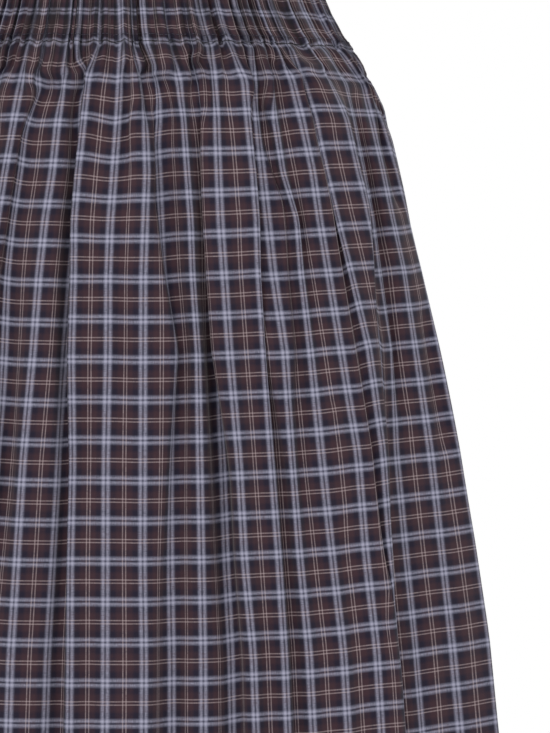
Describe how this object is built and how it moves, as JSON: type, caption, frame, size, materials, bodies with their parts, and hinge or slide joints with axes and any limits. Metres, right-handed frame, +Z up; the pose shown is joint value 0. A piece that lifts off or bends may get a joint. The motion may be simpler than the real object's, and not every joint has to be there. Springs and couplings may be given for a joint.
{
  "type": "midi skirt",
  "caption": "Midi skirt in dark checked cotton, worn: gathered all round on an elastic waist casing, hanging in soft folds to a wide hem.",
  "frame": {"origin": "centre of the waist opening, at half the height of the waist casing", "axes": "+Z up out of the waist, -Y to the front, +X to the wearer's left, which is the right of a front view"},
  "size_m": [0.502, 0.3749, 0.78],
  "materials": {
    "check_cotton": "matt",
    "check_cotton_casing": "matt"
  },
  "bodies": {
    "root": {"front_panel": "check_cotton", "back_panel": "check_cotton", "casing_front": "check_cotton_casing", "casing_back": "check_cotton_casing"}
  },
  "joints": []
}
